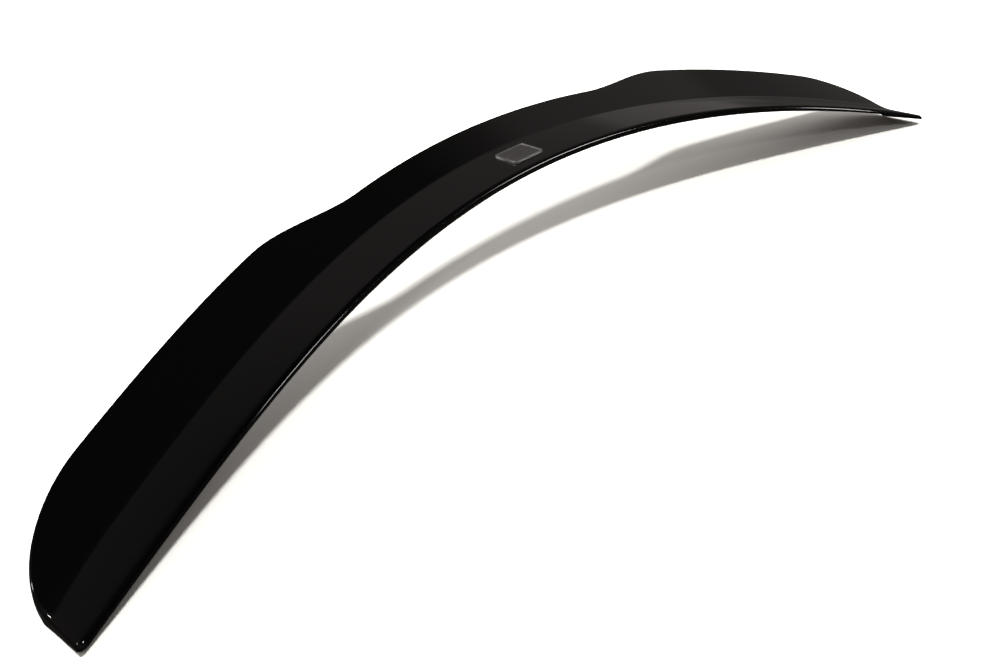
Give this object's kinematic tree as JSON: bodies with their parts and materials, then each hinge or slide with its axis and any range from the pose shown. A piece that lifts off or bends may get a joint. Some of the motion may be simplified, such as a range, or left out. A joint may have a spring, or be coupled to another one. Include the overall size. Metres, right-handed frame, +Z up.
{
  "type": "spoiler extension",
  "caption": "Thin formed black strip bonded along a car's rear spoiler: arched from end to end, with a wavy front flange, a crease, a level lip with a rolled edge, and a small bare plate.",
  "frame": {"origin": "middle of the flange's underside on the mid plane, where the part is bonded down", "axes": "+X across the car, +Y towards the leading edge, +Z up, as the part stands in the picture"},
  "size_m": [1.2046, 0.196, 0.1283],
  "materials": {
    "shell": "high gloss top, satin trimmed edges and underside",
    "badge": "satin grey with a bright rim"
  },
  "bodies": {
    "root": {"lip_shell": "shell", "badge_plate": "badge"}
  },
  "joints": []
}
